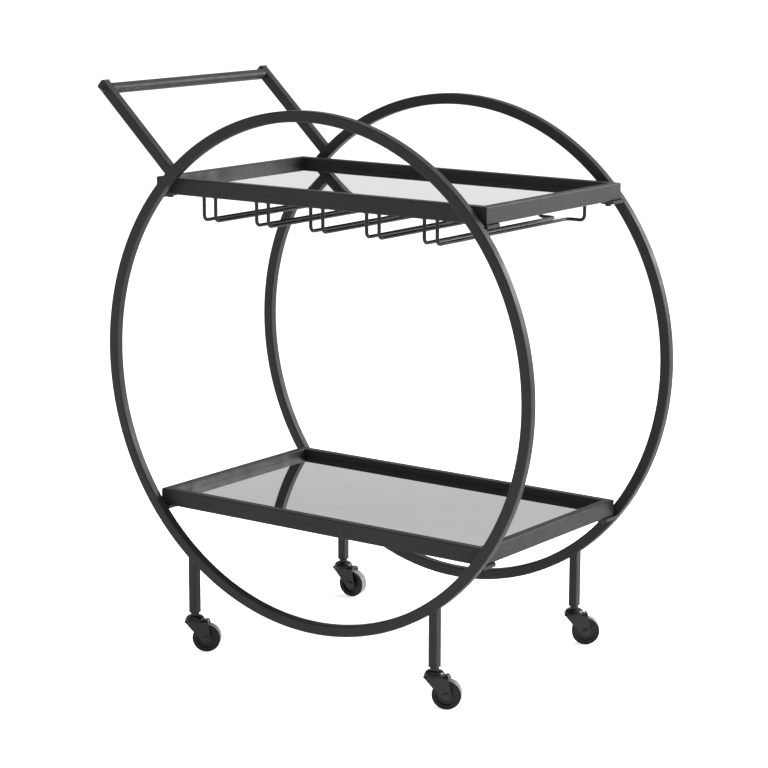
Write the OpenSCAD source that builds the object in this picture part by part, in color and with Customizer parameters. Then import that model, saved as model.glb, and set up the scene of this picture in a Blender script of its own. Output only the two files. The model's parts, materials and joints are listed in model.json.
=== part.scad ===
// Bar cart on wheels: two tube hoops carry two mirror trays, a glass rack, a handle and four swivel casters.
// X runs along the cart with the handle at -X, Y runs across it, and Z is up.
// The origin is on the floor, below the middle of the cart's length and width.

/* [Hoops] */
// Outer diameter of each hoop
hoop_d = 700; // [620:5:860]
// Depth of the hoop and arm tube, measured along the hoop's radius
tube_depth = 15; // [12:0.5:20]
// Width of the hoop, arm and leg tube, measured across the cart
tube_w = 12.7; // [11:0.1:18]
// Wall of the hoop, arm and leg tube
tube_wall = 1.2; // [0.8:0.1:1.6]
// Outer corner radius of the hoop, arm and leg tube
tube_r = 2; // [1.7:0.1:3]
// Width of the cart over the two hoops
cart_w = 355.6; // [290:0.1:480]
// Diameter of the vent holes that drain each hoop into its legs
vent_d = 4; // [2:0.5:6]

/* [Trays] */
// Length of each tray over its rim
tray_l = 542; // [446:1:660]
// Gap between a tray's side and the hoop beside it
tray_gap = 4; // [1:0.5:10]
// Width of the rim tube
rail_w = 12.7; // [10:0.1:20]
// Height of the rim tube
rail_h = 22.9; // [20:0.1:35]
// Wall of the rim tube
rail_wall = 1.2; // [0.8:0.1:1.6]
// Outer corner radius of the rim tube
rail_r = 1.7; // [1.7:0.1:3]
// Extra height of the upper tray above its even place on the hoops
upper_rise = 3; // [0:0.5:6]
// Depth of the mirror below the rim's top
mirror_depth = 10; // [4:0.5:11]
// Thickness of the mirror
mirror_t = 3; // [2:0.5:4]
// Thickness of the board under the mirror
board_t = 3; // [2:0.5:4]
// Clearance around the mirror and its board
panel_gap = 0.5; // [0.2:0.1:2]
// Width of the ledge strips that hold the board
ledge_w = 12; // [6:0.5:25]
// Thickness of the ledge strips
ledge_t = 1.5; // [1:0.1:3]
// Gap between the ends of neighbouring ledge strips
ledge_gap = 2; // [0.5:0.5:6]

/* [Tabs and bolts] */
// Width of each tab along the cart
tab_w = 20; // [14:0.5:30]
// Thickness of the tabs
tab_t = 4; // [2:0.5:5]
// Reach of each tab inward from its hoop
tab_reach = 33; // [30:0.5:60]
// Corner cut at each tab's inner end
tab_cut = 5; // [1:0.5:6]
// Distance of the bolt from the tab's inner end
bolt_edge = 8; // [6:0.5:12]
// Diameter of the tray bolts
bolt_d = 5; // [3:0.5:6]
// Diameter of the bolt heads
bolt_head_d = 9; // [7:0.5:12]
// Height of the bolt heads
bolt_head_h = 3; // [2:0.5:5]
// Reach of the bolts inside the rim tube
bolt_reach = 8; // [3:0.5:15]

/* [Handle] */
// Angle on the hoop, from the level, where the arm's centre line leaves it
arm_from = 47.4; // [35:0.1:60]
// Rise of the arms from the level
arm_rise = 43; // [30:0.5:60]
// Length of an arm from the middle of the hoop tube to its end
arm_l = 171.8; // [100:0.1:260]
// Thickness of the cap on each arm's end
cap_t = 3.6; // [3.5:0.1:5]
// Corner radius of the arm caps
cap_r = 3.4; // [1:0.1:3.4]
// Length of the cap's plug inside the arm
cap_plug_l = 4; // [2:0.5:5]
// Distance of the push bar from the arm's end
bar_inset = 12; // [11:0.5:40]
// Diameter of the push bar
bar_d = 15; // [12:0.5:24]
// Wall of the push bar
bar_wall = 1.5; // [1:0.1:2]
// Length of the threaded plug in each end of the bar
bar_plug_l = 20; // [18:1:40]
// Diameter of the handle screws
screw_d = 5; // [4:0.5:6]
// Diameter of the screw heads
screw_head_d = 9.5; // [8:0.5:11]
// Height of the screw heads
screw_head_h = 2.6; // [2:0.1:4]
// Reach of the screws into the bar
screw_reach = 16; // [8:0.5:17]

/* [Legs] */
// Distance of each leg from the middle of the hoops
leg_x = 204; // [120:1:250]
// How far a leg's lower end lies below the hoop
leg_drop = 7; // [0:0.5:60]
// Length of the plug inside each leg
plug_l = 25; // [15:1:45]
// Thickness of the plug's flange
flange_t = 2; // [1:0.1:4]
// Bevel of the flange's lower edge
flange_bevel = 1.2; // [0.5:0.1:2]
// Clearance between a plug and its tube
plug_fit = 0.1; // [0.05:0.05:0.3]
// Corner radius of the plugs inside the tubes
plug_r = 0.6; // [0.2:0.1:2]

/* [Casters] */
// Diameter of the wheels
wheel_d = 39; // [34:1:60]
// Width of the tyres
wheel_w = 15; // [10:0.5:24]
// Radius of the tyre's shoulders
shoulder_r = 1; // [0.4:0.1:1.5]
// Height of the tyre above the wheel's rim
tyre_t = 2; // [1.5:0.1:5]
// Distance from the swivel axis back to the axle
trail = 16.5; // [14:0.1:40]
// Diameter of the axles
axle_d = 6; // [4:0.5:8]
// How far the axle's heads stand out around it
axle_flange = 2; // [1:0.5:4]
// Height of the axle's heads
axle_head_h = 1.5; // [0.5:0.1:3]
// Thickness of the hub's boss around the axle
boss_t = 4; // [2:0.5:6]
// Thickness of the hub's rim
rim_t = 3.5; // [1.5:0.1:5]
// Distance from the tyre's side in to the hub's rim
rim_inset = 0.5; // [0:0.1:2]
// Distance from the tyre's side in to the hub's web
web_inset = 4; // [2:0.5:4.5]
// Diameter of the swivel stems
stem_d = 8; // [6:0.5:9]
// How far the stem's peened end stands out around it
stem_flange = 2; // [1:0.5:4]
// Height of the stem's peened end
stem_end_h = 1.6; // [1:0.1:2]
// Radial clearance of the wheels and the swivels
run_fit = 0.05; // [0.02:0.01:0.1]
// Thickness of the fork's sheet
fork_t = 1.6; // [1:0.1:3]
// Gap between the tyre and each side of the fork
fork_gap = 0.9; // [0.7:0.1:3]
// Gap between the tyre and the fork's crown
crown_gap = 2.9; // [1.5:0.1:6]
// Diameter of the fork's crown
crown_d = 27; // [24:0.5:36]
// Radius of the fork's end around the axle
lobe_r = 7; // [6:0.5:10]
// Reach of the fork's cheeks ahead of the swivel axis
fork_front = 13.7; // [8:0.1:16]
// Reach of the fork's cheeks behind the axle
fork_past = 3; // [0:0.5:6]
// Radius of the round top of the fork's lug
lug_r = 2.3; // [2:0.1:5]
// Width of the lug
lug_w = 12; // [6:0.5:18]
// Gap between the lug and the swivel cup
lug_gap = 0.4; // [0.3:0.1:3]
// Height of the lug's round centre above the crown
lug_rise = 0; // [0:0.1:4]
// Gap above and below the fork's crown at the swivel
swivel_gap = 0.3; // [0.1:0.1:1]
// Diameter of the swivel cup
cup_d = 28; // [25:0.5:38]
// Height of the swivel cup
cup_h = 7.4; // [4:0.1:10]
// Height of the cup's straight rim
cup_rim = 1; // [0.5:0.1:3]
// Diameter of the neck above the cup
neck_d = 12; // [10:0.5:12.5]
// Height of the neck above the cup
neck_h = 3.8; // [1:0.1:10]
// Angle of each caster at rest, in the order of CORNERS
rest_turns = [32, 27, 9, 33]; // [-180:1:180]

/* [Glass rack] */
// Number of glass runners
runner_count = 5; // [1:1:5]
// Distance between neighbouring runners
runner_pitch = 91; // [84:1:100]
// Distance between the two wires of a runner
runner_gap = 20; // [14:0.5:26]
// Diameter of the rack wire
wire_d = 4.8; // [3:0.1:6]
// Distance of the wires below the tray
runner_drop = 31.7; // [24:0.1:60]
// Sideways step of each wire at its back end
flare = 27; // [16:0.5:28]
// Bend radius of the wire's centre line
bend_r = 7; // [5:0.5:7.5]
// Radius of the weld at each wire's end
weld_r = 4.6; // [3:0.1:5]

/* [Hidden] */
ARC_STEPS = 4;
DOME_STEPS = 8;
LOBE_STEPS = 12;
HOOP_SIDES = 180;
WIRE_SIDES = 32;
HEX = 6;
MIN_INNER_R = 0.4;
OVER = 1;
$fn = 64;

// Corners of the cart: name, side along X, side along Y.
CORNERS = [["front_left", -1, -1], ["front_right", 1, -1], ["back_left", -1, 1], ["back_right", 1, 1]];

FRAME_NODES = ["hoop_front", "hoop_back", "handle_arm_front", "handle_arm_back", "arm_caps", "handle_bar",
    "bar_plugs", "handle_screws", "leg_plugs", "caster_stems", "upper_tabs", "lower_tabs", "tray_bolts"];
TRAY_PARTS = ["rail_front", "rail_back", "rail_left", "rail_right", "ledges", "board", "mirror"];
TRAY_NODES = [for (t = ["upper", "lower"]) for (p = TRAY_PARTS) str(t, "_", p)];
RACK_NODES = [for (i = [1 : runner_count]) str("glass_runner_", i)];
CORNER_NODES = [for (p = ["leg", "fork", "axle", "hub", "tyre"]) for (c = CORNERS) str(p, "_", c[0])];

// Caster heights, from the floor up
wheel_r = wheel_d / 2;
rim_r = wheel_r - tyre_t;
crown_z = wheel_d + crown_gap;
crown_top = crown_z + fork_t;
cup_z = crown_top + swivel_gap;
cup_top = cup_z + cup_h;
neck_top = cup_top + neck_h;
leg_z = neck_top + flange_t;

// Hoops
hoop_r = hoop_d / 2;
hoop_mid_r = hoop_r - tube_depth / 2;
hoop_z = leg_z + leg_drop + hoop_r;
hoop_in_y = cart_w / 2 - tube_w;
tube_y = cart_w / 2 - tube_w / 2;

// Handle, measured from the hoop's centre
arm_end_x = -hoop_mid_r * cos(arm_from) - arm_l * cos(arm_rise);
arm_end_z = hoop_mid_r * sin(arm_from) + arm_l * sin(arm_rise);
arm_tip_x = arm_end_x - (tube_depth / 2 - cap_r) * sin(arm_rise) + cap_r * (cos(arm_rise) - 1);
hoop_x = (-arm_tip_x - hoop_r) / 2;
arm_turn = 90 + arm_rise;

// Trays: the hoops are as wide as the trays where they cross them
tray_w = 2 * (hoop_in_y - tray_gap);
tab_x = (tray_l - rail_w) / 2;
cross_z = sqrt(pow(hoop_mid_r, 2) - pow(tab_x, 2));
upper_z = hoop_z + cross_z + tab_t / 2 + upper_rise;
lower_z = hoop_z - cross_z + tab_t / 2;
mirror_z = rail_h - mirror_depth - mirror_t;
board_z = mirror_z - board_t;
ledge_z = board_z - ledge_t;
bolt_y = hoop_in_y - tab_reach + bolt_edge;

// Fork outline, measured from the swivel axis
fork_in = wheel_w / 2 + fork_gap;
fork_out = fork_in + fork_t;
fork_back = trail + fork_past;
lug_x = cup_d / 2 + lug_gap + lug_r;

// Wheel hub
boss_r = axle_d / 2 + boss_t;
boss_half = wheel_w / 2 + fork_gap / 2;
rim_half = wheel_w / 2 - rim_inset;
web_half = wheel_w / 2 - web_inset;

METAL = "#37383a";
BLACK = "#1c1c1e";
STEEL = "#8a8c90";

function arc(cx, cy, r, from, to, steps = ARC_STEPS) =
    [for (i = [0 : steps]) let(a = from + (to - from) * i / steps) [cx + r * cos(a), cy + r * sin(a)]];

// Rectangle w by h, centred, with round corners.
function rounded(w, h, r) = concat(
    arc(w / 2 - r, h / 2 - r, r, 0, 90),
    arc(-w / 2 + r, h / 2 - r, r, 90, 180),
    arc(-w / 2 + r, -h / 2 + r, r, 180, 270),
    arc(w / 2 - r, -h / 2 + r, r, 270, 360));

// Directions from the centre c to where the tangents from the point p touch a circle of radius r.
function bearing(c, p) = atan2(p[1] - c[1], p[0] - c[0]);
function tangent_turn(c, p, r) = acos(r / norm(p - c));

module tube_section(w, h, r, wall) {
    difference() {
        polygon(rounded(w, h, r));
        polygon(rounded(w - 2 * wall, h - 2 * wall, max(r - wall, MIN_INNER_R)));
    }
}

// Dome of radius r and height h on z = 0.
module dome(r, h) {
    rotate_extrude()
        polygon(concat([[0, 0]], [for (p = arc(0, 0, 1, 0, 90, DOME_STEPS)) [p[0] * r, p[1] * h]]));
}

module at_hoop(side) {
    translate([hoop_x, side * tube_y, hoop_z]) children();
}

// On the floor below a leg.
module at_leg(side_x, side_y) {
    translate([hoop_x + side_x * leg_x, side_y * tube_y, 0]) children();
}

// The space inside a hoop's outer surface, for coping what is welded to it.
module hoop_disc() {
    rotate([90, 0, 0]) cylinder(r = hoop_r, h = tube_w + 2 * OVER, center = true);
}

module hoop(side) {
    vent_top = hoop_z - sqrt(pow(hoop_mid_r, 2) - pow(leg_x, 2));
    color(METAL)
    difference() {
        at_hoop(side) rotate([90, 0, 0]) rotate_extrude($fn = HOOP_SIDES)
            translate([hoop_mid_r, 0]) tube_section(tube_depth, tube_w, tube_r, tube_wall);
        for (s = [-1, 1]) {
            at_leg(s, side) translate([0, 0, leg_z]) cylinder(d = vent_d, h = vent_top - leg_z);
        }
    }
}

module leg(side_x, side_y) {
    color(METAL)
    difference() {
        at_leg(side_x, side_y) translate([0, 0, leg_z])
            linear_extrude(hoop_z - leg_z) tube_section(tube_w, tube_w, tube_r, tube_wall);
        at_hoop(side_y) hoop_disc();
    }
}

// A plug's flange, with the lower edges of its four sides bevelled.
module flange() {
    half = tube_w / 2;
    bevelled = [[flange_bevel - half, 0], [half - flange_bevel, 0], [half, flange_bevel], [half, flange_t],
        [-half, flange_t], [-half, flange_bevel]];
    intersection() {
        linear_extrude(flange_t) polygon(rounded(tube_w, tube_w, tube_r));
        rotate([90, 0, 0]) linear_extrude(tube_w, center = true) polygon(bevelled);
        rotate([90, 0, 90]) linear_extrude(tube_w, center = true) polygon(bevelled);
    }
}

module leg_plug() {
    width = tube_w - 2 * (tube_wall + plug_fit);
    difference() {
        union() {
            translate([0, 0, neck_top]) flange();
            translate([0, 0, leg_z]) linear_extrude(plug_l) polygon(rounded(width, width, plug_r));
        }
        translate([0, 0, neck_top - OVER]) cylinder(d = stem_d, h = flange_t + plug_l + 2 * OVER);
    }
}

module leg_plugs() {
    color(BLACK)
    for (c = CORNERS) {
        at_leg(c[1], c[2]) leg_plug();
    }
}

// Swivel stem: the peened end under the fork, the cup over it, the neck and the shank in the leg's plug.
module caster_stem() {
    stem_r = stem_d / 2;
    neck_r = neck_d / 2;
    end_r = stem_r + stem_flange;
    end_top = crown_z - swivel_gap;
    end_z = end_top - stem_end_h;
    round_w = (cup_d - neck_d) / 2;
    round_h = cup_h - cup_rim;
    stem_top = leg_z + plug_l;
    under = [[0, end_z], [end_r, end_z], [end_r, end_top], [stem_r, end_top]];
    turn = arc(0, 0, 1, 0, 90, DOME_STEPS);
    cup = [for (p = turn) [neck_r + p[0] * round_w, cup_z + cup_rim + p[1] * round_h]];
    shank = [[neck_r, neck_top], [stem_r, neck_top], [stem_r, stem_top], [0, stem_top]];
    rotate_extrude() polygon(concat(under, [[stem_r, cup_z], [cup_d / 2, cup_z]], cup, shank));
}

module caster_stems() {
    color(METAL)
    for (c = CORNERS) {
        at_leg(c[1], c[2]) caster_stem();
    }
}

module at_caster(i) {
    at_leg(CORNERS[i][1], CORNERS[i][2]) rotate([0, 0, rest_turns[i]]) children();
}

// Lays a shape that turns about Z on the axle's line.
module on_axle() {
    translate([trail, 0, wheel_r]) rotate([90, 0, 0]) children();
}

module fork(i) {
    axle_c = [trail, wheel_r];
    front_p = [-fork_front, crown_top];
    back_p = [fork_back, crown_top];
    front_a = bearing(axle_c, front_p) + tangent_turn(axle_c, front_p, lobe_r);
    back_a = bearing(axle_c, back_p) - tangent_turn(axle_c, back_p, lobe_r) + 360;
    cheek = concat([front_p], arc(trail, wheel_r, lobe_r, front_a, back_a, LOBE_STEPS), [back_p]);
    lug = concat([[lug_x - lug_r, crown_z], [lug_x + lug_r, crown_z]],
        arc(lug_x, crown_top + lug_rise, lug_r, 0, 180, DOME_STEPS));
    color(METAL)
    at_caster(i)
    difference() {
        union() {
            translate([0, 0, crown_z]) cylinder(d = crown_d, h = fork_t);
            translate([-fork_front, -fork_out, crown_z]) cube([fork_front + fork_back, 2 * fork_out, fork_t]);
            for (s = [-1, 1]) {
                translate([0, s * (fork_in + fork_t / 2) + fork_t / 2, 0])
                    rotate([90, 0, 0]) linear_extrude(fork_t) polygon(cheek);
            }
            translate([0, lug_w / 2, 0]) rotate([90, 0, 0]) linear_extrude(lug_w) polygon(lug);
        }
        translate([0, 0, crown_z - OVER]) cylinder(d = stem_d + 2 * run_fit, h = fork_t + 2 * OVER);
        on_axle() cylinder(d = axle_d, h = 2 * (fork_out + OVER), center = true);
    }
}

// Axle rivet with a domed head on each side of the fork.
module axle(i) {
    color(STEEL)
    at_caster(i) on_axle() {
        cylinder(d = axle_d, h = 2 * fork_out, center = true);
        for (s = [0, 180]) {
            rotate([s, 0, 0]) translate([0, 0, fork_out]) dome(axle_d / 2 + axle_flange, axle_head_h);
        }
    }
}

module hub(i) {
    bore = axle_d / 2 + run_fit;
    half = [[bore, boss_half], [boss_r, boss_half], [boss_r, web_half], [rim_r - rim_t, web_half],
        [rim_r - rim_t, rim_half], [rim_r, rim_half]];
    count = len(half);
    color(BLACK)
    at_caster(i) on_axle() rotate_extrude()
        polygon(concat(half, [for (k = [count - 1 : -1 : 0]) [half[k][0], -half[k][1]]]));
}

module tyre(i) {
    edge = wheel_w / 2 - shoulder_r;
    color(BLACK)
    at_caster(i) on_axle() rotate_extrude()
        polygon(concat(
            [[rim_r, -wheel_w / 2]],
            arc(wheel_r - shoulder_r, -edge, shoulder_r, 270, 360),
            arc(wheel_r - shoulder_r, edge, shoulder_r, 0, 90),
            [[rim_r, wheel_w / 2]]));
}

// Puts the end of an arm's centre line at the origin, with +Z down the arm to the hoop.
module at_arm(side) {
    at_hoop(side) translate([arm_end_x, 0, arm_end_z]) rotate([0, arm_turn, 0]) children();
}

module handle_arm(side) {
    color(METAL)
    difference() {
        at_arm(side) translate([0, 0, cap_t])
            linear_extrude(arm_l - cap_t) tube_section(tube_depth, tube_w, tube_r, tube_wall);
        at_hoop(side) hoop_disc();
        at_arm(side) translate([0, 0, bar_inset]) rotate([90, 0, 0])
            cylinder(d = screw_d, h = tube_w + 2 * OVER, center = true);
    }
}

module arm_cap() {
    half = tube_depth / 2;
    outline = concat([[half, cap_t], [-half, cap_t]], arc(-half + cap_r, cap_r, cap_r, 180, 270),
        arc(half - cap_r, cap_r, cap_r, 270, 360));
    inset = 2 * (tube_wall + plug_fit);
    rotate([90, 0, 0]) translate([0, 0, -tube_w / 2]) linear_extrude(tube_w) polygon(outline);
    translate([0, 0, cap_t - OVER])
        linear_extrude(cap_plug_l + OVER) polygon(rounded(tube_depth - inset, tube_w - inset, plug_r));
}

module arm_caps() {
    color(BLACK)
    for (s = [-1, 1]) {
        at_arm(s) arm_cap();
    }
}

// Puts the push bar's middle at the origin, with the bar along Y.
module at_bar() {
    x = arm_end_x + bar_inset * cos(arm_rise);
    z = arm_end_z - bar_inset * sin(arm_rise);
    translate([hoop_x + x, 0, hoop_z + z]) rotate([90, 0, 0]) children();
}

module handle_bar() {
    color(METAL)
    at_bar() difference() {
        cylinder(d = bar_d, h = 2 * hoop_in_y, center = true);
        cylinder(d = bar_d - 2 * bar_wall, h = 2 * (hoop_in_y + OVER), center = true);
    }
}

module bar_plugs() {
    color(STEEL)
    at_bar() for (s = [0, 180]) {
        rotate([s, 0, 0]) translate([0, 0, hoop_in_y - bar_plug_l]) difference() {
            cylinder(d = bar_d - 2 * bar_wall, h = bar_plug_l);
            translate([0, 0, -OVER]) cylinder(d = screw_d, h = bar_plug_l + 2 * OVER);
        }
    }
}

module handle_screws() {
    color(METAL)
    at_bar() for (s = [0, 180]) {
        rotate([s, 0, 0]) {
            translate([0, 0, hoop_in_y - screw_reach]) cylinder(d = screw_d, h = screw_reach + tube_w);
            translate([0, 0, hoop_in_y + tube_w]) dome(screw_head_d / 2, screw_head_h);
        }
    }
}

// Rim tube of length l along X, with its outer side at y = 0 and mitred ends.
module rail(l) {
    intersection() {
        translate([-l / 2, rail_w / 2, rail_h / 2]) rotate([90, 0, 90])
            linear_extrude(l) tube_section(rail_w, rail_h, rail_r, rail_wall);
        translate([0, 0, -OVER]) linear_extrude(rail_h + 2 * OVER)
            polygon([[-l / 2, 0], [l / 2, 0], [l / 2 - rail_w, rail_w], [rail_w - l / 2, rail_w]]);
    }
}

// The rail on one side of a tray: turn 0 is the front, 90 the right, 180 the back and 270 the left.
module rail_at(z, turn) {
    long = turn == 0 || turn == 180;
    color(METAL)
    translate([hoop_x, 0, z]) difference() {
        rotate([0, 0, turn]) translate([0, -(long ? tray_w : tray_l) / 2, 0]) rail(long ? tray_l : tray_w);
        if (!long) {
            for (x = [-tab_x, tab_x]) {
                for (y = [-bolt_y, bolt_y]) {
                    translate([x, y, -OVER]) cylinder(d = bolt_d, h = rail_wall + 2 * OVER);
                }
            }
        }
    }
}

module panel(z, base, t, tint) {
    l = tray_l - 2 * (rail_w + panel_gap);
    w = tray_w - 2 * (rail_w + panel_gap);
    color(tint) translate([hoop_x - l / 2, -w / 2, z + base]) cube([l, w, t]);
}

module ledges(z) {
    l = tray_l - 2 * rail_w;
    w = tray_w - 2 * rail_w;
    end_w = w - 2 * (ledge_w + ledge_gap);
    color(METAL)
    translate([hoop_x, 0, z + ledge_z]) {
        for (s = [-1, 1]) {
            translate([-l / 2, s * (w - ledge_w) / 2 - ledge_w / 2, 0]) cube([l, ledge_w, ledge_t]);
            translate([s * (l - ledge_w) / 2 - ledge_w / 2, -end_w / 2, 0]) cube([ledge_w, end_w, ledge_t]);
        }
    }
}

// Tab from a hoop's inner face to under the tray's end rail.
module tab() {
    inner = hoop_in_y - tab_reach;
    half = tab_w / 2;
    difference() {
        translate([0, 0, -tab_t]) linear_extrude(tab_t)
            polygon([[-half, hoop_in_y], [-half, inner + tab_cut], [tab_cut - half, inner],
                [half - tab_cut, inner], [half, inner + tab_cut], [half, hoop_in_y]]);
        translate([0, bolt_y, -tab_t - OVER]) cylinder(d = bolt_d, h = tab_t + 2 * OVER);
    }
}

module at_tabs(z) {
    for (x = [-tab_x, tab_x]) {
        for (s = [-1, 1]) {
            translate([hoop_x + x, 0, z]) scale([1, s, 1]) children();
        }
    }
}

module tray_bolt() {
    translate([0, bolt_y, -tab_t]) {
        cylinder(d = bolt_d, h = tab_t + bolt_reach);
        translate([0, 0, -bolt_head_h]) cylinder(d = bolt_head_d, h = bolt_head_h, $fn = HEX);
    }
}

module tray_bolts() {
    color(STEEL) {
        at_tabs(upper_z) tray_bolt();
        at_tabs(lower_z) tray_bolt();
    }
}

// Quarter bend of the rack wire from +X to +Y, about the origin.
module wire_bend() {
    rotate_extrude(angle = 90) translate([bend_r, 0]) circle(d = wire_d, $fn = WIRE_SIDES);
}

module wire_run(l) {
    cylinder(d = wire_d, h = l, $fn = WIRE_SIDES);
}

// Right wire of a runner: down from the front rail, back under the tray, aside and up to the back rail.
module rack_wire() {
    rail_y = (tray_w - rail_w) / 2;
    x = runner_gap / 2;
    up_l = runner_drop - bend_r;
    weld_h = weld_r - wire_d / 2;
    translate([x, -rail_y, bend_r - runner_drop]) {
        wire_run(up_l);
        translate([0, bend_r, 0]) rotate([0, 90, 0]) rotate([0, 0, -90]) wire_bend();
        translate([0, bend_r, -bend_r]) rotate([-90, 0, 0]) wire_run(2 * (rail_y - bend_r));
    }
    translate([x + bend_r, rail_y - bend_r, -runner_drop]) rotate([0, 0, 90]) wire_bend();
    translate([x + bend_r, rail_y, -runner_drop]) rotate([0, 90, 0]) wire_run(flare - 2 * bend_r);
    translate([x + flare, rail_y, bend_r - runner_drop]) {
        translate([-bend_r, 0, 0]) rotate([90, 0, 0]) rotate([0, 0, -90]) wire_bend();
        wire_run(up_l);
    }
    translate([x, -rail_y, -weld_h]) cylinder(d1 = wire_d, r2 = weld_r, h = weld_h);
    translate([x + flare, rail_y, -weld_h]) cylinder(d1 = wire_d, r2 = weld_r, h = weld_h);
}

module glass_runner(i) {
    color(METAL)
    translate([hoop_x + (i - (runner_count + 1) / 2) * runner_pitch, 0, upper_z]) {
        rack_wire();
        mirror([1, 0, 0]) rack_wire();
    }
}

module tray(name, z) {
    sides = [["front", 0], ["right", 90], ["back", 180], ["left", 270]];
    for (s = sides) {
        rail_at(z, s[1]);
    }
    ledges(z);
    panel(z, board_z, board_t, BLACK);
    panel(z, mirror_z, mirror_t, "#c9cccd");
}

hoop(-1);  // hoop_front
hoop(1);  // hoop_back
handle_arm(-1);  // handle_arm_front
handle_arm(1);  // handle_arm_back
arm_caps();
handle_bar();
bar_plugs();
handle_screws();
leg_plugs();
caster_stems();
color(METAL) at_tabs(upper_z) tab();  // upper_tabs
color(METAL) at_tabs(lower_z) tab();  // lower_tabs
tray_bolts();
tray("upper", upper_z);
tray("lower", lower_z);
for (i = [1 : runner_count]) {
    glass_runner(i);
}
for (i = [0 : len(CORNERS) - 1]) {
    leg(CORNERS[i][1], CORNERS[i][2]);
    fork(i);
    axle(i);
    hub(i);
    tyre(i);
}
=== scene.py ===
"""Bar cart on wheels: rounded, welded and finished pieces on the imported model, in a pale studio."""

import json
import math

import bmesh
import bpy
from mathutils import Matrix, Vector

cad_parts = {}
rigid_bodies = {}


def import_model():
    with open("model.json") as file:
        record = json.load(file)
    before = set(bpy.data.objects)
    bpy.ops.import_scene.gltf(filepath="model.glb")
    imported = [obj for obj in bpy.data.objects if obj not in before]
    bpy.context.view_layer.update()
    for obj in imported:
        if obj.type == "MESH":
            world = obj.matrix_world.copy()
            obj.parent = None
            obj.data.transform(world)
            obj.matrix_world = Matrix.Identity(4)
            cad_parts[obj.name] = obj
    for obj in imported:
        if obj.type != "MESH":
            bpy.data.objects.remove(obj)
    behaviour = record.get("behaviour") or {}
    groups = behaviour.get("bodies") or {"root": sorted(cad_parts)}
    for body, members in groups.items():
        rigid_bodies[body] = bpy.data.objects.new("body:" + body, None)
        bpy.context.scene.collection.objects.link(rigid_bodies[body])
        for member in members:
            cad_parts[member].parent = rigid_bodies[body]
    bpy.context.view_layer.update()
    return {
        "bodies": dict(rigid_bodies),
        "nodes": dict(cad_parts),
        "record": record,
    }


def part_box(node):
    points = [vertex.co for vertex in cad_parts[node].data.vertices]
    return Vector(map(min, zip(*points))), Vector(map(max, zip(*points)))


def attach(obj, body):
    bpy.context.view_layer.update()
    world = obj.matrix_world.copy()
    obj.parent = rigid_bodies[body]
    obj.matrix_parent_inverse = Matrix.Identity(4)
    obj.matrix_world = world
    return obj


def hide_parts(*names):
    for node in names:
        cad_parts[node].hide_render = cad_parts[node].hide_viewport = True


# Camera: its place in metres, its angles in degrees, and its lens and sensor in millimetres.
CAMERA_AT = (1.932, -2.642, 1.0455)
CAMERA_TURN = 36.15
CAMERA_DOWN = 11.56
CAMERA_ROLL = 0.14
CAMERA_LENS = 113.7
SENSOR_W = 36

# Surroundings: brightness at each height, from 0 at the horizon to 1 overhead, times a factor
# that rises from the far side to the side that BRIGHT_WAY points to.
SKY = ((0, 0.9), (0.14, 0.80), (0.25, 0.54), (0.55, 0.6))
BRIGHT_WAY = (0.85, 0.53, 0)
DIM_FACTOR = 0.8
BRIGHT_FACTOR = 1.25
FLOOR_HALF = 60
FLOOR_GLOW = 0.6

MM = 0.001
CORNERS = ("front_left", "front_right", "back_left", "back_right")
RUNNERS = 5
UP = Vector((0, 0, 1))
SHARP_ANGLE = math.radians(32)

# Frame tubes.
TUBE_DEPTH = 15 * MM
TUBE_W = 12.7 * MM
TUBE_R = 2 * MM
COPE_SINK = 0.05 * MM

# Handle.
ARM_RISE = math.radians(43)
BAR_INSET = 12 * MM
CAP_T = 3.6 * MM
CAP_R = 3.4 * MM
CAP_SOFT = 0.7 * MM
SCREW_HEAD_R = 4.75 * MM
SCREW_HEAD_H = 2.6 * MM
SCREW_SUNK = 2 * MM
SOCKET_R = 1.6 * MM
SOCKET_FOOT_R = 1.5 * MM

# Glass runners.
WIRE_R = 2.4 * MM
WELD_R = 4.6 * MM
BEND_R = 7 * MM
RUNNER_HALF = 10 * MM
FLARE = 27 * MM

# Weld beads on the hoops.
BEAD_R = 1.1 * MM
BEAD_RIPPLE = 0.35 * MM
TAB_BEAD_R = 1 * MM
TAB_BEAD_HALF = 7 * MM
TAB_HALF = 10 * MM

# Caster stem and swivel cup.
STEM_R = 4 * MM
STEM_END_R = 6 * MM
STEM_END_H = 1.6 * MM
STEM_SHOWN = 5 * MM
NECK_R = 6 * MM
NECK_H = 3.8 * MM
CUP_R = 14 * MM
CUP_H = 7.4 * MM
LIP_H = 1.4 * MM
LIP_IN = 0.7 * MM
LIP_ROLL = 0.3 * MM
STEM_SOFT = 0.5 * MM
SWIVEL_GAP = 0.3 * MM

# Fork.
FORK_T = 1.6 * MM
FORK_IN = 8.4 * MM
FORK_OUT = 10 * MM
FORK_FRONT = 13.7 * MM
FORK_PAST = 3 * MM
FORK_SOFT = 0.35 * MM
CHEEK_SOFT = 0.9 * MM
CROWN_R = 13.5 * MM
LOBE_R = 7 * MM
LUG_X = 16.7 * MM
LUG_R = 2.3 * MM
LUG_W = 12 * MM

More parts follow.
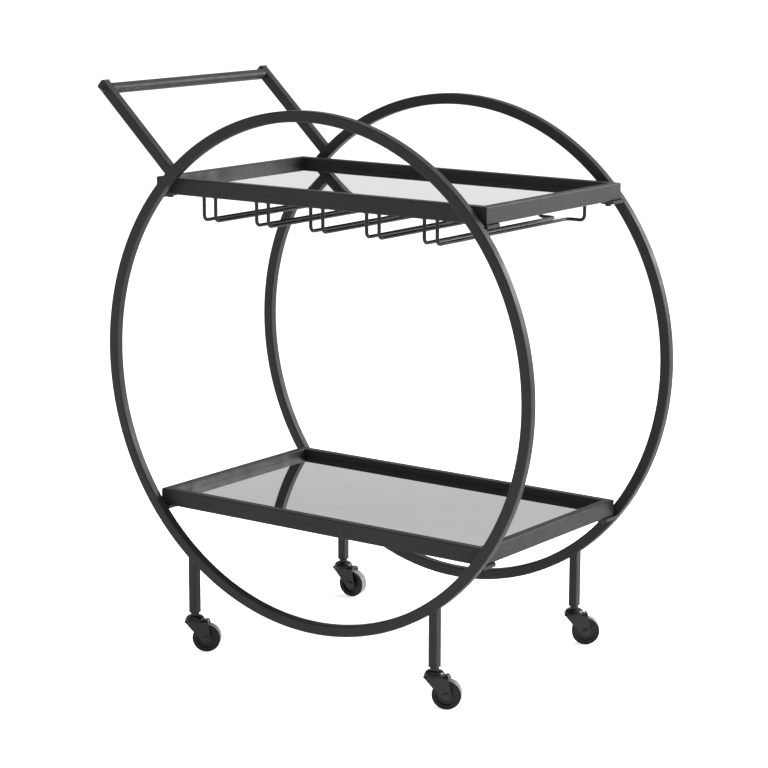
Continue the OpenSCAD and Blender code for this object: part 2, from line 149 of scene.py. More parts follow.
# Wheel: the radii and half widths of its axle, hub and tyre.
AXLE_R = 3 * MM
AXLE_HEAD_R = 5 * MM
AXLE_HEAD_H = 1.5 * MM
RUN_FIT = 0.05 * MM
WHEEL_R = 19.5 * MM
WHEEL_HALF = 7.5 * MM
RIM_R = 17.5 * MM
RIM_IN_R = 14 * MM
RIM_HALF = 7 * MM
GROOVE_IN_R = 15.3 * MM
GROOVE_OUT_R = 16.4 * MM
GROOVE_SLOPE = 0.3 * MM
GROOVE_H = 0.5 * MM
BOSS_R = 7 * MM
BOSS_HALF = 7.95 * MM
WEB_HALF = 3.5 * MM
RING_IN_R = 9.6 * MM
RING_OUT_R = 11 * MM
RING_H = 0.8 * MM
HUB_SOFT = 0.3 * MM
WALL_R = 18.3 * MM
WALL_SLOPE = 0.2 * MM
WALL_STEP = 0.25 * MM
SHOULDER_R = 0.7 * MM
TREAD_INSET = 0.9 * MM
TREAD_DEPTH = 1 * MM


def studio():
    """Camera, soft lights, world and floor."""
    scene = bpy.context.scene
    scene.view_settings.view_transform = "Standard"
    camera = bpy.data.objects.new("camera", bpy.data.cameras.new("camera"))
    camera.data.lens = CAMERA_LENS
    camera.data.sensor_width = SENSOR_W
    camera.data.clip_end = 200
    turn = Matrix.Rotation(math.radians(CAMERA_TURN), 4, "Z")
    tilt = Matrix.Rotation(math.radians(90 - CAMERA_DOWN), 4, "X")
    roll = Matrix.Rotation(math.radians(CAMERA_ROLL), 4, "Z")
    camera.matrix_world = Matrix.Translation(CAMERA_AT) @ turn @ tilt @ roll
    scene.collection.objects.link(camera)
    scene.camera = camera

    soft_light("right_softbox", at=(2.2, 2.6, 1.8), aim=(0, 0, 0.6), size=(2.0, 1.4), watts=190)
    soft_light("top_softbox", at=(-0.2, 0.6, 3.4), aim=(0, 0, 0.4), size=(2.6, 2.6), watts=50)
    world(scene)
    floor()


def soft_light(name, at, aim, size, watts):
    """Rectangular area light that faces a point."""
    light = bpy.data.lights.new(name, "AREA")
    light.shape = "RECTANGLE"
    light.size, light.size_y = size
    light.energy = watts
    lamp = bpy.data.objects.new(name, light)
    look = Vector(aim) - Vector(at)
    lamp.matrix_world = Matrix.Translation(at) @ look.to_track_quat("-Z", "Y").to_matrix().to_4x4()
    bpy.context.scene.collection.objects.link(lamp)


def world(scene):
    """Studio surroundings: bright at the horizon, dimmer above, and darker to the front left."""
    scene.world = bpy.data.worlds.new("studio")
    scene.world.use_nodes = True
    tree = scene.world.node_tree
    tree.nodes.clear()
    coord = tree.nodes.new("ShaderNodeTexCoord")
    split = tree.nodes.new("ShaderNodeSeparateXYZ")
    height = tree.nodes.new("ShaderNodeValToRGB")
    side = tree.nodes.new("ShaderNodeVectorMath")
    across = tree.nodes.new("ShaderNodeMapRange")
    both = tree.nodes.new("ShaderNodeMath")
    back = tree.nodes.new("ShaderNodeBackground")
    out = tree.nodes.new("ShaderNodeOutputWorld")
    stops = height.color_ramp.elements
    first, *middle, last = SKY
    for stop, (place, level) in zip((stops[0], stops[1]), (first, last)):
        stop.position = place
        stop.color = (level, level, level, 1)
    for place, level in middle:
        stops.new(place).color = (level, level, level, 1)
    back.inputs["Color"].default_value = (1, 1, 1, 1)
    side.operation = "DOT_PRODUCT"
    side.inputs[1].default_value = BRIGHT_WAY
    across.inputs["From Min"].default_value = -1
    across.inputs["To Min"].default_value = DIM_FACTOR
    across.inputs["To Max"].default_value = BRIGHT_FACTOR
    both.operation = "MULTIPLY"
    tree.links.new(coord.outputs["Generated"], split.inputs[0])
    tree.links.new(coord.outputs["Generated"], side.inputs[0])
    tree.links.new(split.outputs["Z"], height.inputs["Fac"])
    tree.links.new(side.outputs["Value"], across.inputs["Value"])
    tree.links.new(height.outputs["Color"], both.inputs[0])
    tree.links.new(across.outputs["Result"], both.inputs[1])
    tree.links.new(both.outputs[0], back.inputs["Strength"])
    tree.links.new(back.outputs["Background"], out.inputs["Surface"])


def floor():
    """White floor that glows a little, so that its contact shadows stay faint."""
    mesh = bpy.data.meshes.new("floor")
    half = FLOOR_HALF
    corners = [(-half, -half, 0), (half, -half, 0), (half, half, 0), (-half, half, 0)]
    mesh.from_pydata(corners, [], [(0, 1, 2, 3)])
    plane = bpy.data.objects.new("floor", mesh)
    bpy.context.scene.collection.objects.link(plane)
    paint = bpy.data.materials.new("floor")
    paint.use_nodes = True
    shader = paint.node_tree.nodes["Principled BSDF"]
    shader.inputs["Base Color"].default_value = (0.95, 0.95, 0.95, 1)
    shader.inputs["Roughness"].default_value = 0.9
    shader.inputs["Specular IOR Level"].default_value = 0.1
    shader.inputs["Emission Color"].default_value = (1, 1, 1, 1)
    shader.inputs["Emission Strength"].default_value = FLOOR_GLOW
    mesh.materials.append(paint)


class Finish:
    """A Principled material whose nodes are added with short calls."""

    def __init__(self, name):
        self.material = bpy.data.materials.new(name)
        self.material.use_nodes = True
        self.tree = self.material.node_tree
        self.shader = self.tree.nodes["Principled BSDF"]
        self.coord = self.add("TexCoord").outputs["Object"]

    def add(self, kind, **settings):
        """New shader node with these settings."""
        made = self.tree.nodes.new("ShaderNode" + kind)
        for key, value in settings.items():
            setattr(made, key, value)
        return made

    def link(self, source, target):
        self.tree.links.new(source, target)

    def fixed(self, **values):
        """Sets constants on the shader's own inputs, with _ for each space in their names."""
        for key, value in values.items():
            self.shader.inputs[key.replace("_", " ")].default_value = value

    def varied(self, **sources):
        """Links sockets to the shader's own inputs, with _ for each space in their names."""
        for key, source in sources.items():
            self.link(source, self.shader.inputs[key.replace("_", " ")])

    def noise(self, size, detail=2.0, stretch=(1, 1, 1)):
        """Noise with spots of about this size in metres, from 0 to 1."""
        place = self.add("Mapping")
        place.inputs["Scale"].default_value = stretch
        self.link(self.coord, place.inputs["Vector"])
        made = self.add("TexNoise")
        made.inputs["Scale"].default_value = 1 / size
        made.inputs["Detail"].default_value = detail
        self.link(place.outputs[0], made.inputs["Vector"])
        return made.outputs["Fac"]

    def spread(self, value, low, high, start=0.3, end=0.7):
        """Maps start..end of a value to low..high."""
        made = self.add("MapRange")
        made.inputs["From Min"].default_value = start
        made.inputs["From Max"].default_value = end
        made.inputs["To Min"].default_value = low
        made.inputs["To Max"].default_value = high
        self.link(value, made.inputs["Value"])
        return made.outputs["Result"]

    def blend(self, factor, one, two):
        """Mixes two colours, each a socket or a tuple, by a factor socket."""
        made = self.add("Mix", data_type="RGBA")
        self.link(factor, made.inputs["Factor"])
        for colour, place in ((one, "A"), (two, "B")):
            target = [s for s in made.inputs if s.name == place and s.type == "RGBA"][0]
            if isinstance(colour, tuple):
                target.default_value = (*colour, 1)
            else:
                self.link(colour, target)
        return [s for s in made.outputs if s.type == "RGBA"][0]

    def math(self, kind, one, two):
        """Math node on two values, each a socket or a number."""
        made = self.add("Math", operation=kind)
        for value, target in ((one, made.inputs[0]), (two, made.inputs[1])):
            if isinstance(value, (int, float)):
                target.default_value = value
            else:
                self.link(value, target)
        return made.outputs[0]

    def edges(self, radius, start=0.02, end=0.25):
        """1 near sharp edges and 0 on flat faces."""
        bevel = self.add("Bevel", samples=6)
        bevel.inputs["Radius"].default_value = radius
        flat = self.add("NewGeometry")
        dot = self.add("VectorMath", operation="DOT_PRODUCT")
        self.link(bevel.outputs["Normal"], dot.inputs[0])
        self.link(flat.outputs["Normal"], dot.inputs[1])
        away = self.math("SUBTRACT", 1.0, dot.outputs["Value"])
        return self.spread(away, 0, 1, start, end)

    def wear(self, radius, patch, detail, least, most):
        """Edges rubbed by least to most, in patches of this size in metres."""
        rubbed = self.spread(self.noise(patch, detail), least, most)
        return self.math("MULTIPLY", self.edges(radius), rubbed)

    def up_facing(self, start=0.6, end=0.95):
        """1 on faces that look up and 0 on the others."""
        flat = self.add("NewGeometry")
        split = self.add("SeparateXYZ")
        self.link(flat.outputs["Normal"], split.inputs[0])
        return self.spread(split.outputs["Z"], 0, 1, start, end)

    def bumps(self, *layers):
        """Stacks (height socket, depth in metres, strength) layers of bump."""
        last = None
        for height, depth, strength in layers:
            bump = self.add("Bump")
            bump.inputs["Distance"].default_value = depth
            bump.inputs["Strength"].default_value = strength
            self.link(height, bump.inputs["Height"])
            if last is not None:
                self.link(last, bump.inputs["Normal"])
            last = bump.outputs["Normal"]
        self.link(last, self.shader.inputs["Normal"])


def powder_coat():
    """Black powder coat: fine grain, dust on top faces and paler edges."""
    dark, pale = (0.009, 0.0093, 0.0096), (0.012, 0.0123, 0.0127)
    speck, dust, bare = (0.030, 0.030, 0.031), (0.06, 0.06, 0.059), (0.045, 0.045, 0.047)
    f = Finish("frame_paint")
    tint = f.blend(f.spread(f.noise(90 * MM), 0, 1), dark, pale)
    grain = f.blend(f.spread(f.noise(1.2 * MM), 0, 0.5), tint, speck)
    settled = f.math("MULTIPLY", f.up_facing(), f.spread(f.noise(30 * MM, 4), 0.0, 0.3))
    dusted = f.blend(settled, grain, dust)
    f.varied(Base_Color=f.blend(f.wear(0.8 * MM, 12 * MM, 4, 0.25, 1.0), dusted, bare),
             Roughness=f.spread(f.noise(20 * MM, 4), 0.44, 0.56))
    f.fixed(Specular_IOR_Level=0.2)
    f.bumps((f.noise(1.6 * MM, 1), 0.06 * MM, 0.35), (f.noise(12 * MM, 2), 0.15 * MM, 0.12))
    return f.material


def dark_steel():
    """Blackened steel, scuffed along its edges."""
    dark, pale, bare = (0.004, 0.004, 0.0045), (0.008, 0.008, 0.0085), (0.05, 0.05, 0.052)
    f = Finish("dark_hardware")
    tint = f.blend(f.spread(f.noise(12 * MM), 0, 1), dark, pale)
    f.varied(Base_Color=f.blend(f.wear(0.5 * MM, 4 * MM, 4, 0.2, 1.0), tint, bare),
             Roughness=f.spread(f.noise(3 * MM, 3), 0.2, 0.32))
    f.fixed(Specular_IOR_Level=0.3)
    f.bumps((f.noise(0.9 * MM, 2), 0.03 * MM, 0.3))
    return f.material


def zinc():
    """Zinc-plated steel with drawn streaks."""
    dark, pale = (0.50, 0.51, 0.53), (0.60, 0.61, 0.63)
    f = Finish("zinc_steel")
    streaks = f.noise(2 * MM, 3, stretch=(1, 0.1, 1))
    f.varied(Base_Color=f.blend(f.spread(streaks, 0, 1), dark, pale),
             Roughness=f.spread(f.noise(4 * MM, 3), 0.25, 0.4))
    f.fixed(Metallic=1.0)
    f.bumps((streaks, 0.02 * MM, 0.3))
    return f.material


def plastic():
    """Black moulded plastic, rubbed along its edges."""
    dark, pale, rubbed = (0.004, 0.004, 0.0045), (0.008, 0.008, 0.0085), (0.035, 0.035, 0.036)
    f = Finish("black_plastic")
    tint = f.blend(f.spread(f.noise(10 * MM), 0, 1), dark, pale)
    f.varied(Base_Color=f.blend(f.wear(0.4 * MM, 3 * MM, 3, 0.2, 0.8), tint, rubbed),
             Roughness=f.spread(f.noise(5 * MM, 3), 0.26, 0.4))
    f.fixed(Specular_IOR_Level=0.25)
    f.bumps((f.noise(0.6 * MM, 2), 0.02 * MM, 0.4))
    return f.material


def rubber(name, dark, pale):
    """Grey rubber between two levels, scuffed paler along its edges."""
    f = Finish(name)
    tint = f.blend(f.spread(f.noise(8 * MM, 3), 0, 1), (dark,) * 3, (pale,) * 3)
    f.varied(Base_Color=f.blend(f.wear(0.4 * MM, 3 * MM, 3, 0.2, 0.9), tint, (pale * 1.5,) * 3),
             Roughness=f.spread(f.noise(4 * MM, 3), 0.35, 0.5))
    f.fixed(Specular_IOR_Level=0.2)
    f.bumps((f.noise(0.8 * MM, 3), 0.04 * MM, 0.4))
    return f.material


def board():
    """Black fibreboard."""
    dark, pale = (0.020, 0.020, 0.020), (0.038, 0.037, 0.036)
    f = Finish("black_board")
    fibre = f.noise(1.5 * MM, 4, stretch=(0.4, 1, 1))
    f.varied(Base_Color=f.blend(f.spread(fibre, 0, 1), dark, pale),
             Roughness=f.spread(fibre, 0.6, 0.75))
    f.bumps((fibre, 0.05 * MM, 0.4))
    return f.material


def mirror():
    """Mirror glass with faint smudges."""
    dark, pale = (0.84, 0.85, 0.85), (0.87, 0.88, 0.88)
    f = Finish("mirror_glass")
    smudge = f.noise(50 * MM, 5)
    f.varied(Base_Color=f.blend(f.spread(smudge, 0, 1), dark, pale),
             Roughness=f.spread(smudge, 0.015, 0.05, 0.45, 0.75))
    f.fixed(Metallic=1.0)
    f.bumps((f.noise(120 * MM, 1), 0.02 * MM, 0.2))
    return f.material


class Shape:
    """Closed shells of one mesh, in metres in the row frame."""

    def __init__(self):
        self.points = []
        self.faces = []

    def skin(self, rings, round_way=False, ring_closed=True):
        """Faces between neighbouring rings, with flat ends unless the rings close round."""
        base = len(self.points)
        size = len(rings[0])
        for ring in rings:
            self.points += ring
        for i in range(len(rings) if round_way else len(rings) - 1):
            one = base + i * size
            two = base + (i + 1) % len(rings) * size
            for j in range(size if ring_closed else size - 1):
                k = (j + 1) % size
                self.faces.append((one + j, one + k, two + k, two + j))
        if not round_way:
            last = base + (len(rings) - 1) * size
            self.faces.append(tuple(base + j for j in reversed(range(size))))
            self.faces.append(tuple(last + j for j in range(size)))

    def lathe(self, profile, spot, steps=96, closed=False):
        """Turns (radius, height) points about the Z of the matrix spot."""
        rings = []
        for i in range(steps):
            c, s = math.cos(math.tau * i / steps), math.sin(math.tau * i / steps)
            rings.append([spot @ Vector((r * c, r * s, h)) for r, h in profile])
        self.skin(rings, round_way=True, ring_closed=closed)

    def extrude(self, outline, low, high, spot):
        """Solid of a 2-D outline between two heights along the Z of spot."""
        self.skin([[spot @ Vector((x, y, h)) for x, y in outline] for h in (low, high)])

    def tube(self, path, radii, sides=24):
        """Round wire along a path, with one radius for each of its points."""
        ends = [(path[max(i - 1, 0)], path[min(i + 1, len(path) - 1)]) for i in range(len(path))]
        along = [(after - before).normalized() for before, after in ends]
        turns = [math.tau * k / sides for k in range(sides)]
        across = along[0].orthogonal().normalized()
        rings = []
        for point, way, radius in zip(path, along, radii):
            across = (across - way * across.dot(way)).normalized()
            other = way.cross(across)
            rings.append([point + (across * math.cos(t) + other * math.sin(t)) * radius
                          for t in turns])
        self.skin(rings)

    def coped(self, outline, start, spot, mid, radius):
        """Straight tube along the Z of spot, from start up to a hoop's outer surface."""
        way = (spot.to_3x3() @ UP).normalized()
        last = []
        for x, y in outline:
            here = spot @ Vector((x, y, 0))
            into_corner = max(0, abs(here.y - mid.y) - TUBE_W / 2 + TUBE_R)
            rounding = TUBE_R - math.sqrt(max(0, TUBE_R ** 2 - into_corner ** 2))
            last.append(onto_circle(here, way, mid, radius - rounding - COPE_SINK))
        self.skin([[spot @ Vector((x, y, start)) for x, y in outline], last])

    def bead(self, start, end, radius):
        """Rippled weld bead in a straight line, narrower at its ends."""
        count = max(8, int((end - start).length / BEAD_RIPPLE))
        path = [start.lerp(end, i / count) for i in range(count + 1)]
        rounds = [math.sin(math.pi * max(0.08, i / count)) ** 0.3 for i in range(count)] + [0.6]
        radii = [radius * r * (1 + 0.1 * math.sin(i * 1.3)) for i, r in enumerate(rounds)]
        self.tube(path, radii, 12)

    def build(self, name, bevel=0.0):
        """Makes the object, with its sharp edges rounded by bevel metres."""
        made = bmesh.new()
        points = [made.verts.new(p) for p in self.points]
        for face in self.faces:
            made.faces.new([points[i] for i in face])
        bmesh.ops.remove_doubles(made, verts=made.verts, dist=1e-6)
        bmesh.ops.recalc_face_normals(made, faces=made.faces)
        mesh = bpy.data.meshes.new(name)
        made.to_mesh(mesh)
        made.free()
        mesh.shade_smooth()
        mesh.set_sharp_from_angle(angle=SHARP_ANGLE)
        piece = bpy.data.objects.new(name, mesh)
        bpy.context.scene.collection.objects.link(piece)
        if bevel:
            soft = piece.modifiers.new("round_edges", "BEVEL")
            soft.width = bevel
            soft.segments = 3
            soft.limit_method = "ANGLE"
            soft.angle_limit = SHARP_ANGLE
            soft.harden_normals = True
        else:
            piece.modifiers.new("even_shading", "WEIGHTED_NORMAL").keep_sharp = True
        return piece


def soften(points, radius, steps=4, closed=True):
    """A 2-D outline with its corners rounded as far as their sides allow."""
    count = len(points)
    made = []
    for i, corner in enumerate(points):
        here = Vector(corner)
        if not closed and i in (0, count - 1):
            made.append(tuple(here))
            continue
        back = Vector(points[i - 1]) - here
        ahead = Vector(points[(i + 1) % count]) - here
        cut = min(radius, back.length * 0.45, ahead.length * 0.45)
        one = here + back.normalized() * cut
        two = here + ahead.normalized() * cut
        for k in range(steps + 1):
            t = k / steps
            made.append(tuple(one.lerp(here, t).lerp(here.lerp(two, t), t)))
    return made


def rounded_box(w, h, r, steps=5):
    """Rectangle w by h, centred, with round corners."""
    made = []
    for sx, sy, start in ((1, 1, 0), (-1, 1, 90), (-1, -1, 180), (1, -1, 270)):
        for k in range(steps + 1):
            a = math.radians(start + 90 * k / steps)
            made.append((sx * (w / 2 - r) + r * math.cos(a), sy * (h / 2 - r) + r * math.sin(a)))
    return made


def arc(middle, radius, start, end, steps):
    """Points on a circle in 2-D, from one angle to another in radians."""
    turns = [start + (end - start) * k / steps for k in range(steps + 1)]
    return [(middle[0] + radius * math.cos(a), middle[1] + radius * math.sin(a)) for a in turns]


def reflected(half):
    """The reflection of a (radius, height) profile about height 0, in the opposite order."""
    return [(r, -h) for r, h in reversed(half)]


def bent_path(corners, radius, steps=8):
    """A path in space through corners, with an arc of this radius at each square bend."""
    path = [corners[0]]
    for before, corner, after in zip(corners, corners[1:], corners[2:]):
        one = (before - corner).normalized() * radius
        two = (after - corner).normalized() * radius
        hub = corner + one + two
        for k in range(steps + 1):
            a = math.pi / 2 * k / steps
            path.append(hub - two * math.cos(a) - one * math.sin(a))
    path.append(corners[-1])
    return path


def onto_circle(point, way, mid, radius):
    """Where a line from a point first meets the upright circle about mid."""
    gap = Vector((point.x - mid.x, 0, point.z - mid.z))
    along = -gap.dot(way)
    return point + way * (along - math.sqrt(along ** 2 - gap.dot(gap) + radius ** 2))


def centre(node):
    """Middle of a CAD node's box."""
    low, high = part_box(node)
    return (low + high) / 2


def body_of(node):
    """Name of the body that a CAD node rides on."""
    parent = FRAME["nodes"][node].parent
    return next(name for name, empty in FRAME["bodies"].items() if empty == parent)


def stands_for(piece, node):
    """Puts a piece in the place of its CAD node: same body and its slot's finish."""
    name = SLOTS[node]
    if not piece.data.materials:
        piece.data.materials.append(FINISHES[name])
    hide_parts(node)
    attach(piece, body_of(node))


def hoop_radius():
    """Outer radius of the hoops."""
    low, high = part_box("hoop_front")
    return (high.x - low.x) / 2


def hoop(node):
    """Tube with round corners, bent into a ring."""
    mid = centre(node)
    radius = hoop_radius() - TUBE_DEPTH / 2
    section = rounded_box(TUBE_DEPTH, TUBE_W, TUBE_R)
    rings = []
    for i in range(360):
        out = Vector((math.cos(math.radians(i)), 0, math.sin(math.radians(i))))
        rings.append([mid + out * (radius + u) + Vector((0, v, 0)) for u, v in section])
    shape = Shape()
    shape.skin(rings, round_way=True)
    stands_for(shape.build(node), node)


def leg(corner):
    """Leg tube, coped to the hoop."""
    node = "leg_" + corner
    low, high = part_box(node)
    shape = Shape()
    spot = Matrix.Translation(((low.x + high.x) / 2, (low.y + high.y) / 2, 0))
    mid = centre("hoop_" + corner.split("_")[0])
    shape.coped(rounded_box(TUBE_W, TUBE_W, TUBE_R), low.z, spot, mid, hoop_radius())
    stands_for(shape.build(node), node)


def arm_spot(side):
    """Matrix at an arm's end, with Z down the arm, Y across the cart and X square to both."""
    bar = centre("handle_bar")
    down = Vector((math.cos(ARM_RISE), 0, -math.sin(ARM_RISE)))
    across = Vector((0, 1, 0))
    square = across.cross(down)
    at = Vector((bar.x, centre("handle_arm_" + side).y, bar.z)) - down * BAR_INSET
    turn = Matrix((square, across, down)).transposed().to_4x4()
    return Matrix.Translation(at) @ turn


def handle():
    """Two arms with their caps, the push bar between them, and a socket screw in each arm."""
    caps = Shape()
    screws = Shape()
    half = TUBE_DEPTH / 2
    cap = [(CAP_T, half), (CAP_T, -half)]
    cap += arc((CAP_R, CAP_R - half), CAP_R, -math.pi / 2, -math.pi, 8)
    cap += arc((CAP_R, half - CAP_R), CAP_R, math.pi, math.pi / 2, 8)
    dome = arc((0, 0), 1, 0, 0.4 * math.pi, 8)
    screw = [(0, -SCREW_SUNK), (SCREW_HEAD_R, -SCREW_SUNK)]
    screw += [(SCREW_HEAD_R * r, SCREW_HEAD_H * h) for r, h in dome]
    screw += [(SOCKET_R, SCREW_HEAD_H * 0.93), (SOCKET_FOOT_R, SCREW_HEAD_H * 0.4),
              (0, SCREW_HEAD_H * 0.35)]
    mid = centre("handle_bar")
    for side, out in (("front", -1), ("back", 1)):
        spot = arm_spot(side)
        node = "handle_arm_" + side
        arm = Shape()
        section = rounded_box(TUBE_DEPTH, TUBE_W, TUBE_R)
        arm.coped(section, CAP_T, spot, centre("hoop_" + side), hoop_radius())
        stands_for(arm.build(node), node)
        sideways = Matrix(((0, 1, 0, 0), (0, 0, 1, 0), (1, 0, 0, 0), (0, 0, 0, 1)))
        caps.extrude(cap, -TUBE_W / 2, TUBE_W / 2, spot @ sideways)
        face = Vector((mid.x, centre(node).y + out * TUBE_W / 2, mid.z))
        outward = Matrix.Translation(face) @ Matrix.Rotation(-out * math.pi / 2, 4, "X")
        screws.lathe(screw, outward, 48)
    stands_for(caps.build("arm_caps", CAP_SOFT), "arm_caps")
    stands_for(screws.build("handle_screws"), "handle_screws")
    low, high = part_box("handle_bar")
    r = (high.x - low.x) / 2
    bar = Shape()
    lying = Matrix.Translation(mid) @ Matrix.Rotation(math.pi / 2, 4, "X")
    bar.lathe([(0, low.y), (r, low.y), (r, high.y), (0, high.y)], lying, 72)
    stands_for(bar.build("handle_bar"), "handle_bar")


def rack(number):
    """Two wires of a runner, swelling where they are welded to the rim."""
    node = f"glass_runner_{number}"
    low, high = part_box(node)
    back = high.y - WELD_R
    run_z = low.z + WIRE_R
    weld_h = WELD_R - WIRE_R
    feet = [k / 6 for k in range(7)]
    swell = [WIRE_R + weld_h * (1 - t) ** 2 for t in feet]
    shape = Shape()
    for s in (-1, 1):
        x = (low.x + high.x) / 2 + s * RUNNER_HALF
        far = x + s * FLARE
        path = bent_path([Vector((x, -back, high.z)), Vector((x, -back, run_z)),
                          Vector((x, back, run_z)), Vector((far, back, run_z)),
                          Vector((far, back, high.z))], BEND_R)
        down = [path[0] - UP * weld_h * t for t in feet]
        up = [path[-1] - UP * weld_h * t for t in reversed(feet)]
        radii = swell + [WIRE_R] * (len(path) - 2) + swell[::-1]
        shape.tube(down + path[1:-1] + up, radii)
    stands_for(shape.build(node), node)


def weld_beads():
    """Small beads where the legs, the arms and the tabs meet the hoops."""
    shape = Shape()
    hub = centre("hoop_front")
    radius = hoop_radius()
    reach = Vector((0, TUBE_W / 2 - TUBE_R, 0))
    for corner in CORNERS:
        foot = centre("leg_" + corner)
        for s in (-1, 1):
            x = foot.x + s * TUBE_W / 2
            at = Vector((x, foot.y, hub.z - math.sqrt(radius ** 2 - (x - hub.x) ** 2)))
            shape.bead(at - reach, at + reach, BEAD_R)
    for side in ("front", "back"):
        spot = arm_spot(side)
        way = (spot.to_3x3() @ UP).normalized()
        for s in (-1, 1):
            at = onto_circle(spot @ Vector((s * TUBE_DEPTH / 2, 0, 0)), way, hub, radius)
            shape.bead(at - reach, at + reach, BEAD_R)
    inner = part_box("hoop_back")[0].y
    along = Vector((TAB_BEAD_HALF, 0, 0))
    for level in ("upper", "lower"):
        low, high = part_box(level + "_tabs")
        for x in (low.x + TAB_HALF, high.x - TAB_HALF):
            for s in (-1, 1):
                for z in (low.z, high.z):
                    at = Vector((x, s * inner, z))
                    shape.bead(at - along, at + along, TAB_BEAD_R)
    beads = shape.build("weld_beads")
    beads.data.materials.append(FINISHES["frame_paint"])
    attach(beads, body_of("hoop_front"))


def caster_spot(corner):
    """Matrix on the floor under a swivel axis, with X back to the axle, and the axle's place."""
    foot = centre("leg_" + corner)
    axle = centre("axle_" + corner)
    way = Vector((axle.x - foot.x, axle.y - foot.y, 0))
    turn = Matrix.Rotation(math.atan2(way.y, way.x), 4, "Z")
    return Matrix.Translation((foot.x, foot.y, 0)) @ turn, way.length, axle.z


def crown_height():
    """Height of the underside of the forks' crown plates."""
    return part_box("caster_stems")[0].z + STEM_END_H + SWIVEL_GAP


def stems():
    """Peened end, swivel cup with a rolled lip, and neck of each stem."""
    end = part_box("caster_stems")[0].z
    cup = crown_height() + FORK_T + SWIVEL_GAP
    lip_r = CUP_R - LIP_IN
    neck_top = cup + CUP_H + NECK_H
    peened = [(0, end), (STEM_END_R, end), (STEM_END_R, end + STEM_END_H),
              (STEM_R, end + STEM_END_H)]
    lip = [(STEM_R, cup), (CUP_R, cup), (CUP_R, cup + LIP_H), (lip_r, cup + LIP_H + LIP_ROLL)]
    turns = [math.pi / 2 * k / 14 for k in range(2, 15)]
    bowl = [(NECK_R + (lip_r - NECK_R) * math.cos(a), cup + LIP_H + (CUP_H - LIP_H) * math.sin(a))
            for a in turns]
    neck = [(NECK_R, neck_top), (STEM_R, neck_top), (STEM_R, neck_top + STEM_SHOWN),
            (0, neck_top + STEM_SHOWN)]
    profile = soften(peened, STEM_SOFT, closed=False) + soften(lip, STEM_SOFT, closed=False)
    profile += bowl + neck
    shape = Shape()
    for corner in CORNERS:
        foot = centre("leg_" + corner)
        shape.lathe(profile, Matrix.Translation((foot.x, foot.y, 0)), 72)
    stands_for(shape.build("caster_stems"), "caster_stems")


def fork(corner):
    """Pressed fork: crown plate with the stem's hole, two cheeks and the lug."""
    node = "fork_" + corner
    spot, trail, axle_z = caster_spot(corner)
    crown = crown_height()
    top = crown + FORK_T
    back = trail + FORK_PAST
    upright = spot @ Matrix.Rotation(math.pi / 2, 4, "X")
    shape = Shape()

    near = STEM_R + RUN_FIT
    turns = [math.tau * k / 96 for k in range(96)]
    turns += [math.atan2(y, x) % math.tau for x in (-FORK_FRONT, back)
              for y in (-FORK_OUT, FORK_OUT)]
    rings = []
    for a in sorted(turns):
        c, s = math.cos(a), math.sin(a)
        far_x = (back if c > 0 else FORK_FRONT) / max(abs(c), 1e-9)
        far = max(min(far_x, FORK_OUT / max(abs(s), 1e-9)), CROWN_R)
        section = ((near, crown), (far, crown), (far, top), (near, top))
        rings.append([spot @ Vector((c * r, s * r, z)) for r, z in section])
    shape.skin(rings, round_way=True)

    hub = Vector((trail, axle_z))
    front_corner, back_corner = Vector((-FORK_FRONT, top)), Vector((back, top))
    tangents = []
    for point, side in ((front_corner, 1), (back_corner, -1)):
        away = point - hub
        tangents.append(math.atan2(away.y, away.x) + side * math.acos(LOBE_R / away.length))
    lobe = arc(hub, LOBE_R, tangents[0], tangents[1] + math.tau, 24)
    cheek = soften([tuple(front_corner)] + lobe + [tuple(back_corner)], CHEEK_SOFT)
    for low, high in ((-FORK_OUT, -FORK_IN), (FORK_IN, FORK_OUT)):
        shape.extrude(cheek, low, high, upright)

    lug = [(LUG_X - LUG_R, crown), (LUG_X + LUG_R, crown)]
    lug += arc((LUG_X, top), LUG_R, 0, math.pi, 10)
    shape.extrude(lug, -LUG_W / 2, LUG_W / 2, upright)
    stands_for(shape.build(node, FORK_SOFT), node)


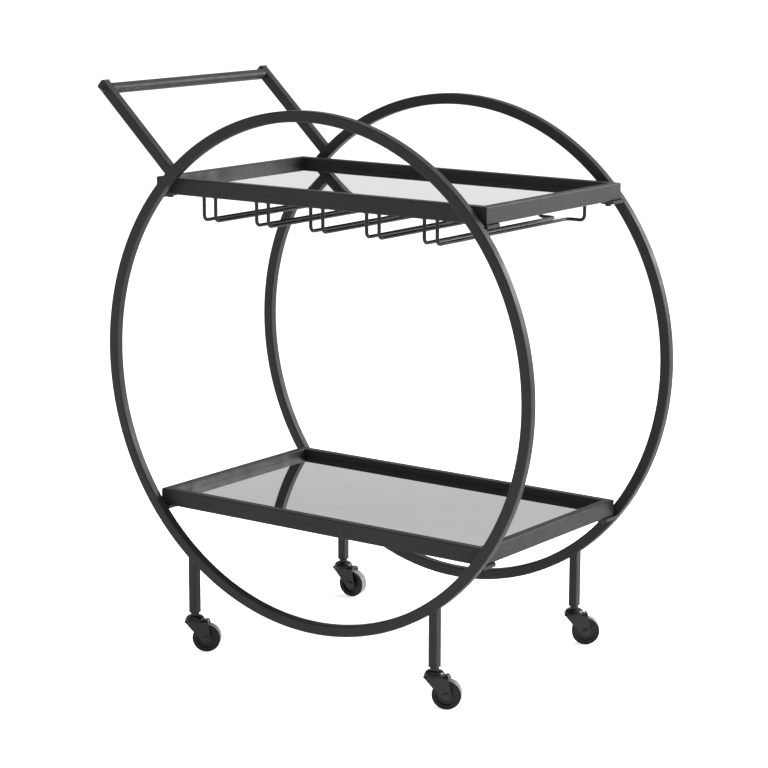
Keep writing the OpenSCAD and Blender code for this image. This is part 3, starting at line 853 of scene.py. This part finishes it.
def wheel(corner):
    """Axle rivet, ribbed hub, and tyre with a paler tread."""
    spot, trail, axle_z = caster_spot(corner)
    line = spot @ Matrix.Translation((trail, 0, axle_z)) @ Matrix.Rotation(math.pi / 2, 4, "X")
    axle = Shape()
    half = [(AXLE_R, 0), (AXLE_R, FORK_OUT)]
    half += [(AXLE_HEAD_R * r, FORK_OUT + AXLE_HEAD_H * h)
             for r, h in arc((0, 0), 1, 0, math.pi / 2, 8)]
    axle.lathe(reflected(half) + half[1:], line, 48)
    stands_for(axle.build("axle_" + corner), "axle_" + corner)

    side = [(AXLE_R + RUN_FIT, BOSS_HALF), (BOSS_R, BOSS_HALF), (BOSS_R, WEB_HALF),
            (RING_IN_R, WEB_HALF), (RING_IN_R, WEB_HALF + RING_H), (RING_OUT_R, WEB_HALF + RING_H),
            (RING_OUT_R, WEB_HALF), (RIM_IN_R, WEB_HALF), (RIM_IN_R, RIM_HALF),
            (GROOVE_IN_R, RIM_HALF), (GROOVE_IN_R + GROOVE_SLOPE, RIM_HALF - GROOVE_H),
            (GROOVE_OUT_R - GROOVE_SLOPE, RIM_HALF - GROOVE_H), (GROOVE_OUT_R, RIM_HALF),
            (RIM_R, RIM_HALF)]
    hub = Shape()
    hub.lathe(soften(side + reflected(side), HUB_SOFT, 2), line, closed=True)
    stands_for(hub.build("hub_" + corner), "hub_" + corner)

    shoulder = -WHEEL_HALF + WALL_STEP
    edge = [(RIM_R, -WHEEL_HALF), (WALL_R, -WHEEL_HALF), (WALL_R + WALL_SLOPE, shoulder)]
    edge += arc((WHEEL_R - SHOULDER_R, shoulder + SHOULDER_R), SHOULDER_R, -math.pi / 2, 0, 5)
    tyre = Shape()
    tyre.lathe(edge + reflected(edge), line, 128, closed=True)
    made = tyre.build("tyre_" + corner)
    made.data.materials.append(FINISHES["tyre_rubber"])
    made.data.materials.append(FINISHES["tyre_tread"])
    way = (line.to_3x3() @ UP).normalized()
    for face in made.data.polygons:
        gap = Vector(face.center) - line.translation
        height = gap.dot(way)
        outside = (gap - way * height).length > RIM_R + TREAD_DEPTH
        if abs(height) < WHEEL_HALF - TREAD_INSET and outside:
            face.material_index = 1
    stands_for(made, "tyre_" + corner)


def paint_nodes():
    """Gives each CAD node the finish of its slot in the record."""
    for node, name in SLOTS.items():
        piece = FRAME["nodes"][node]
        piece.data.materials.clear()
        piece.data.materials.append(FINISHES[name])


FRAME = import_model()
SLOTS = {part["node"]: part["material_slot"] for part in FRAME["record"]["subparts"]}
FINISHES = {
    "frame_paint": powder_coat(),
    "dark_hardware": dark_steel(),
    "zinc_steel": zinc(),
    "black_plastic": plastic(),
    "tyre_rubber": rubber("tyre_rubber", 0.004, 0.008),
    "tyre_tread": rubber("tyre_tread", 0.14, 0.22),
    "black_board": board(),
    "mirror_glass": mirror(),
}
paint_nodes()
hoop("hoop_front")
hoop("hoop_back")
handle()
weld_beads()
stems()
for place in CORNERS:
    leg(place)
    fork(place)
    wheel(place)
for runner in range(1, RUNNERS + 1):
    rack(runner)
studio()
